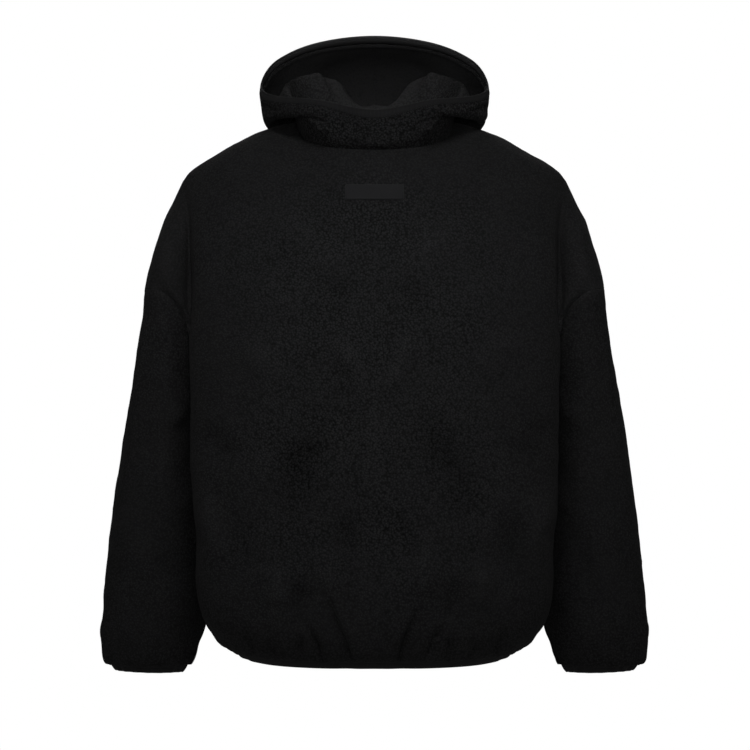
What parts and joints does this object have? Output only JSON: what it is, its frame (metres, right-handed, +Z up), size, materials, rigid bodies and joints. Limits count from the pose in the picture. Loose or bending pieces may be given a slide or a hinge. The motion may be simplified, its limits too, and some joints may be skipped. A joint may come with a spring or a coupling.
{
  "type": "pullover hoodie",
  "caption": "Boxy pullover hoodie in deep pile fleece, filled out as worn, with dropped shoulders, a hood over a funnel neck, and elastic bindings at hood, hem and cuffs.",
  "frame": {"origin": "middle of the neck at the height of the shoulder seams, where the wearer's shoulders hold the garment", "axes": "+X to the wearer's left, -Y to the front, +Z up"},
  "size_m": [0.706, 0.3473, 0.8265],
  "materials": {
    "fleece": "matte deep pile",
    "knit": "matte fine rib",
    "rubber": "satin"
  },
  "bodies": {
    "root": {"front_panel": "fleece", "back_panel": "fleece", "sleeve_left": "fleece", "sleeve_right": "fleece", "hood": "fleece", "hood_binding": "knit", "hem_band": "knit", "cuff_left": "knit", "cuff_right": "knit", "label_patch": "rubber"}
  },
  "joints": []
}
